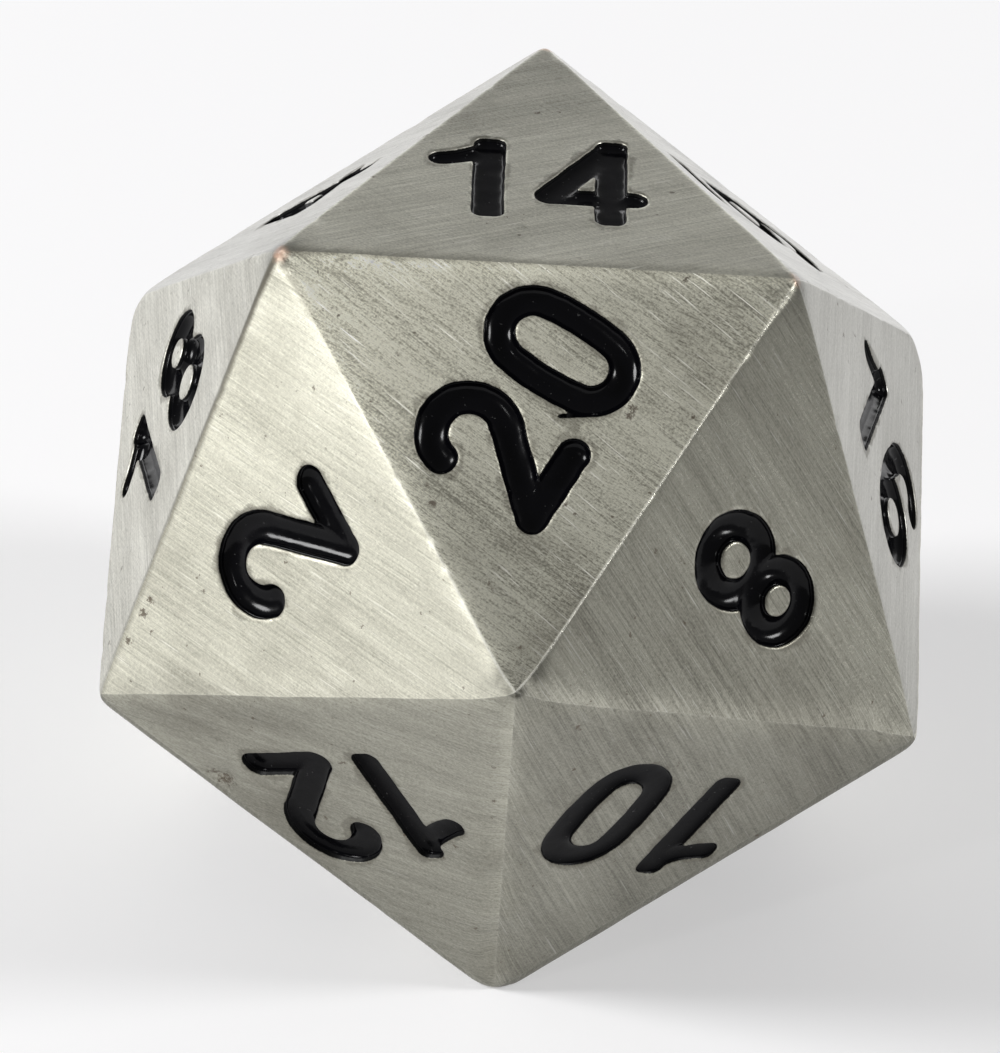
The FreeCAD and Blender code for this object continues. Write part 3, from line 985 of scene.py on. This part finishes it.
def nickel():
    """Brushed antique nickel: directional scratches, stains, halos, worn edges, and painted light and shade:
    glints, edge highlights and darker tones.
    """
    n = Nodes("brushed_antique_nickel")
    place = n.place()
    sway = n.times(n.centred(n.noise(place, 1.0, 0.5, 0.3)), 0.05)
    aside = n.add("ShaderNodeCombineXYZ", Y=sway).outputs[0]
    brush, cross = [n.vector("ADD", n.uv(name), aside).outputs[0] for name in ("brush", "cross")]
    fine = n.centred(n.noise(n.scaled(brush, (0.38, 25.0, 1)), 4.0, 0.75))
    streak = n.centred(n.noise(n.scaled(brush, (0.28, 7.5, 1), (7, 3, 0)), 3.0, 0.6))
    band = n.centred(n.noise(n.scaled(brush, (0.07, 0.9, 1), (3, 9, 0)), 2.0, 0.5))
    crossing = n.centred(n.noise(n.scaled(cross, (0.45, 24.0, 1)), 3.0, 0.7))
    sparkle = n.ramp(n.noise(n.scaled(brush, (0.6, 17.0, 1), (5, 1, 0)), 2.0, 0.5), 0.62, 0.75)
    groove = n.ramp(n.noise(n.scaled(brush, (0.45, 13.0, 1), (1, 5, 0)), 2.0, 0.5), 0.66, 0.77)
    cloud = n.noise(place, 6.0, 0.62, 0.22)
    blotch = n.noise(place, 8.0, 0.7, 0.9)
    grit = n.centred(n.noise(place, 3.0, 0.8, 14.0))
    pits = n.noise(place, 1.0, 0.5, 3.4)
    edge_paint, tone_paint = n.attribute("edge_gap"), n.attribute("face_tone")
    # Edge value: bare metal and painted highlight above zero, grime and painted shade below.
    shine, stains = edge_paint.outputs["Alpha"], tone_paint.outputs["Alpha"]
    gaps = n.parts(edge_paint)
    nearest = n.math("MINIMUM", n.math("MINIMUM", gaps[0], gaps[1]), gaps[2])
    cross_share, tone_and_painted_light, grain = n.parts(tone_paint)
    level_rough, cool = n.parts(n.attribute("face_gloss"))[:2]
    rim = n.attribute("rim_gap").outputs["Fac"]
    tip = n.attribute("corner_gap").outputs["Fac"]

    # Scratches along the main and the second brush direction, with painted glints, and the face tone, partly
    # painted light and shade.
    lines = n.total((fine, 0.78), (streak, 0.38), (band, 0.38), (grit, 0.42))
    crossed = n.times(crossing, cross_share)
    lines = n.total((lines, 1.0), (crossed, 0.7), (n.times(grit, cross_share), 0.60))
    lines = n.times(lines, grain)
    colour = n.mix(n.math("ADD", n.times(lines, 1.6), 0.56, True), NICKEL_DEEP, NICKEL_LIGHT)
    colour = n.mix(n.times(groove, n.times(grain, 0.22)), colour, PATINA)
    # Painted glints: bright scratch lines coloured near white.
    colour = n.mix(n.times(sparkle, n.times(grain, 0.65)), colour, BARE_METAL_AND_GLINT)
    # Face tone, partly painted light and shade: whole faces and their corners painted lighter or darker.
    toned = n.add("ShaderNodeVectorMath", operation="SCALE", Scale=tone_and_painted_light)
    n.put(toned.inputs[0], colour)
    cooled = n.vector("MULTIPLY", toned.outputs[0], COOL_TINT)
    colour = n.mix(cool, toned.outputs[0], cooled.outputs[0])

    # Tarnish, the halo round the numerals, specks, and grime along edges, partly painted shade.
    loose = n.centred(blotch)
    dark = n.times(n.ramp(cloud, 0.48, 0.74), 0.55)
    dark = n.math("MAXIMUM", dark, n.times(n.ramp(blotch, 0.60, 0.74), 0.60))
    dark = n.times(dark, stains)
    halo = n.ramp(n.total((rim, 1.0), (loose, 1.3)), 0.0, 0.14, 1.0, 0.0)
    dark = n.math("MAXIMUM", dark, n.times(halo, 0.50))
    specks = n.ramp(n.total((pits, 1.0), (grit, 0.70)), 0.765, 0.82)
    for number, x, y, radius in SPECKS:
        spot = DIE_FACES[number - 1].lift(np.array([[x, y]]))[0] + [0, 0, HALF_HEIGHT]
        away = n.vector("DISTANCE", place, tuple(spot))
        ragged = n.total((away.outputs["Value"], 1 / radius), (grit, 3.5), (loose, 2.0))
        specks = n.math("MAXIMUM", specks, n.ramp(ragged, 0.3, 0.9, 1.0, 0.0))
    # Grime and painted shade along the edges whose value is below zero.
    grime_and_shade = n.ramp(n.total((nearest, 1.0), (loose, 0.2)), 0.02, 0.22, 1.0, 0.0)
    dark = n.math("MAXIMUM", dark, n.times(grime_and_shade, n.times(shine, -1.0, True)))
    colour = n.mix(dark, colour, PATINA)
    colour = n.mix(n.times(specks, 0.80), colour, BROWN)

    # Bare edges, partly painted as highlights, bare corners, and the black rim of the recesses.
    # Bare metal along edges, partly a painted highlight on the edge.
    worn = n.ramp(n.total((nearest, 1.0), (loose, 0.10), (grit, 0.12)), 0.012, 0.055, 1.0, 0.0)
    patchy = n.ramp(n.total((blotch, 1.0), (grit, 0.8)), 0.22, 0.50)
    worn = n.times(n.times(worn, patchy), n.times(shine, 0.95, True))
    colour = n.mix(worn, colour, BARE_METAL_AND_GLINT)
    bare = n.ramp(n.total((tip, 1.0), (loose, 0.9)), 0.12, 0.42, 1.0, 0.0)
    colour = n.mix(n.times(bare, 0.45), colour, COPPER)
    inked = n.ramp(n.total((rim, 1.0), (grit, 0.03)), 0.004, 0.016, 1.0, 0.0)
    colour = n.mix(inked, colour, RIM_BLACK)

    # Painted glints and bright edges are made less metallic so that their painted brightness shows.
    glint = n.times(sparkle, n.times(grain, 0.22))
    scuffed = n.math("MAXIMUM", n.times(worn, 0.6), glint)
    rough = n.total((lines, -0.30), (dark, 0.12), (worn, -0.12))
    relief = n.total((fine, 0.7), (streak, 0.4), (crossed, 0.5), (grit, 0.35), (groove, -0.15))
    n.fill(n.shader, Base_Color=colour, Metallic=n.math("SUBTRACT", 1.0, scuffed, True),
           Roughness=n.math("ADD", rough, level_rough, True),
           Normal=n.bump(0.6, 0.012, n.times(relief, grain)))
    return n.material


def enamel(name, shine):
    """Thick gloss black enamel with a little dust and orange peel."""
    n = Nodes(name)
    place = n.place()
    haze = n.noise(place, 4.0, 0.6, 1.3)
    dust = n.ramp(n.noise(place, 2.0, 0.5, 9.0), 0.70, 0.76)
    colour = n.mix(n.times(dust, 0.5), ENAMEL_BLACK, DUST_GREY)
    n.fill(n.shader, Base_Color=colour, Roughness=n.ramp(haze, 0.3, 0.75, 0.11, 0.22),
           Specular_IOR_Level=shine, Normal=n.bump(0.25, 0.01, n.noise(place, 2.0, 0.5, 5.0)))
    return n.material


def paper():
    """The plain white table the die lies on, lit a little from below."""
    n = Nodes("white_paper")
    n.fill(n.shader, Base_Color=PAPER_WHITE, Emission_Color=PAPER_GLOW, Emission_Strength=0.30,
           Roughness=0.85, Specular_IOR_Level=0.15)
    return n.material


# ---- The object ----
NICKEL, PAPER = nickel(), paper()
ENAMEL, DULL_ENAMEL = enamel("gloss_black_enamel", 0.14), enamel("dull_black_enamel", 0.06)
DULL_FACES = (10, 12)        # the enamel of these faces has lost some of its gloss

casting = make_casting()
casting.data.materials.append(NICKEL)
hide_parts("die_body")
for face in DIE_FACES:
    for node_name, *_ in face.digits:
        pool = make_pool(face, node_name)
        pool.data.materials.append(DULL_ENAMEL if face.number in DULL_FACES else ENAMEL)
        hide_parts(node_name)


# ---- Floor, light and camera ----
FLOOR_REACH = 4.0            # metres from the middle to each side


def make_floor():
    """A large sheet of white paper at the resting plane."""
    mesh = bpy.data.meshes.new("paper_floor")
    corners = ((-1, -1), (1, -1), (1, 1), (-1, 1))
    mesh.from_pydata([(x * FLOOR_REACH, y * FLOOR_REACH, 0) for x, y in corners], [], [(0, 1, 2, 3)])
    mesh.materials.append(PAPER)
    new_object("paper_floor", mesh)


def soft_box(name, bearing, elevation, distance, width, height, radiance):
    """A lamp that faces the die; bearings are clockwise from the front, seen from above."""
    lamp = bpy.data.lights.new(name, "AREA")
    lamp.shape = "RECTANGLE"
    lamp.size, lamp.size_y = width, height
    lamp.energy = radiance * math.pi * width * height
    made = new_object(name, lamp)
    turn, rise = math.radians(bearing), math.radians(elevation)
    away = Vector((-math.sin(turn) * math.cos(rise), -math.cos(turn) * math.cos(rise), math.sin(rise)))
    made.location = Vector((0, 0, HALF_HEIGHT * MM)) + away * distance
    made.rotation_mode = "QUATERNION"
    made.rotation_quaternion = away.to_track_quat("Z", "Y")


def make_lights():
    """A dim even room, a soft box on each side, a small lamp in front and a panel behind."""
    world = bpy.data.worlds.new("studio")
    world.use_nodes = True
    backdrop = world.node_tree.nodes["Background"]
    backdrop.inputs["Color"].default_value = (1.0, 1.0, 0.99, 1)
    backdrop.inputs["Strength"].default_value = 0.22
    bpy.context.scene.world = world
    soft_box("left_soft_box", 82, 32, 0.70, 0.20, 0.20, 32.0)
    soft_box("right_soft_box", -82, 32, 0.70, 0.14, 0.14, 34.0)
    soft_box("front_left_lamp", 33, 37, 0.70, 0.04, 0.04, 34.0)
    soft_box("back_panel", 174, 9, 1.00, 2.20, 0.40, 1.6)


CAMERA_BEARING = 0.696       # degrees the view turns from straight ahead to the right
CAMERA_ELEVATION = 32.632
CAMERA_ROLL = 3.528
CAMERA_DISTANCE = 180.86     # millimetres
CAMERA_ASIDE = 0.514         # the die stands this far right of the middle of the view
CAMERA_BELOW = 0.299         # and this far above it
CAMERA_LENS = 233.63


def make_camera():
    """A long lens looking down at the front of the die."""
    turn, drop = math.radians(CAMERA_BEARING), math.radians(CAMERA_ELEVATION)
    ahead = Vector((math.sin(turn) * math.cos(drop), math.cos(turn) * math.cos(drop), -math.sin(drop)))
    level = ahead.cross(Vector((0, 0, 1))).normalized()
    upright = level.cross(ahead)
    roll = math.radians(CAMERA_ROLL)
    right = level * math.cos(roll) + upright * math.sin(roll)
    up = upright * math.cos(roll) - level * math.sin(roll)
    lens = bpy.data.cameras.new("camera")
    lens.lens = CAMERA_LENS
    lens.sensor_width = 36
    lens.clip_start, lens.clip_end = 0.01, 10
    made = new_object("camera", lens)
    place = Vector((0, 0, HALF_HEIGHT)) - ahead * CAMERA_DISTANCE - right * CAMERA_ASIDE - up * CAMERA_BELOW
    made.matrix_world = Matrix((
        (right.x, up.x, -ahead.x, place.x * MM),
        (right.y, up.y, -ahead.y, place.y * MM),
        (right.z, up.z, -ahead.z, place.z * MM),
        (0, 0, 0, 1)))
    bpy.context.scene.camera = made


make_floor()
make_lights()
make_camera()
bpy.context.scene.view_settings.view_transform = "Standard"
